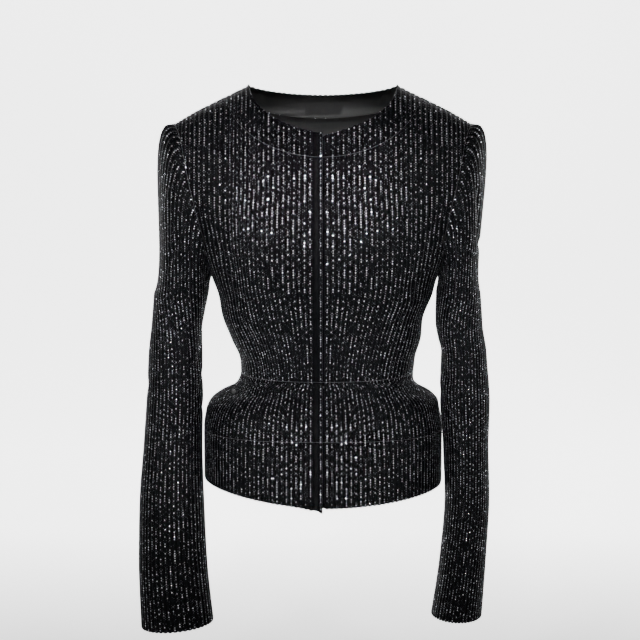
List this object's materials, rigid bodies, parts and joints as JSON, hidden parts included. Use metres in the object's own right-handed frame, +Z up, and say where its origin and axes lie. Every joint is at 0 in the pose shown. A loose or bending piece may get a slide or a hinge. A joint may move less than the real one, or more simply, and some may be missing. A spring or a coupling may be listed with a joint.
{
  "type": "ribbed leather jacket with a peplum",
  "caption": "Short fitted jacket of ribbed leather with a round neck, concealed front closing, long two-piece sleeves and a flared peplum, filled out as worn.",
  "frame": {"origin": "midway between the two side neck points at the top of the shoulder seams, where the wearer carries the jacket", "axes": "+Z up, -Y is the jacket's front, +X the wearer's left"},
  "size_m": [0.4425, 0.226, 0.6834],
  "materials": {
    "ribbed_leather": "gloss"
  },
  "bodies": {
    "root": {"front_right": "ribbed_leather", "front_left": "ribbed_leather", "side_right": "ribbed_leather", "side_left": "ribbed_leather", "back": "ribbed_leather", "neckband_right": "ribbed_leather", "neckband_left": "ribbed_leather", "neckband_back": "ribbed_leather", "peplum_right": "ribbed_leather", "peplum_left": "ribbed_leather", "peplum_back": "ribbed_leather", "hemband_right": "ribbed_leather", "hemband_left": "ribbed_leather", "hemband_back": "ribbed_leather", "sleeve_upper_right": "ribbed_leather", "sleeve_under_right": "ribbed_leather", "sleeve_upper_left": "ribbed_leather", "sleeve_under_left": "ribbed_leather"}
  },
  "joints": []
}
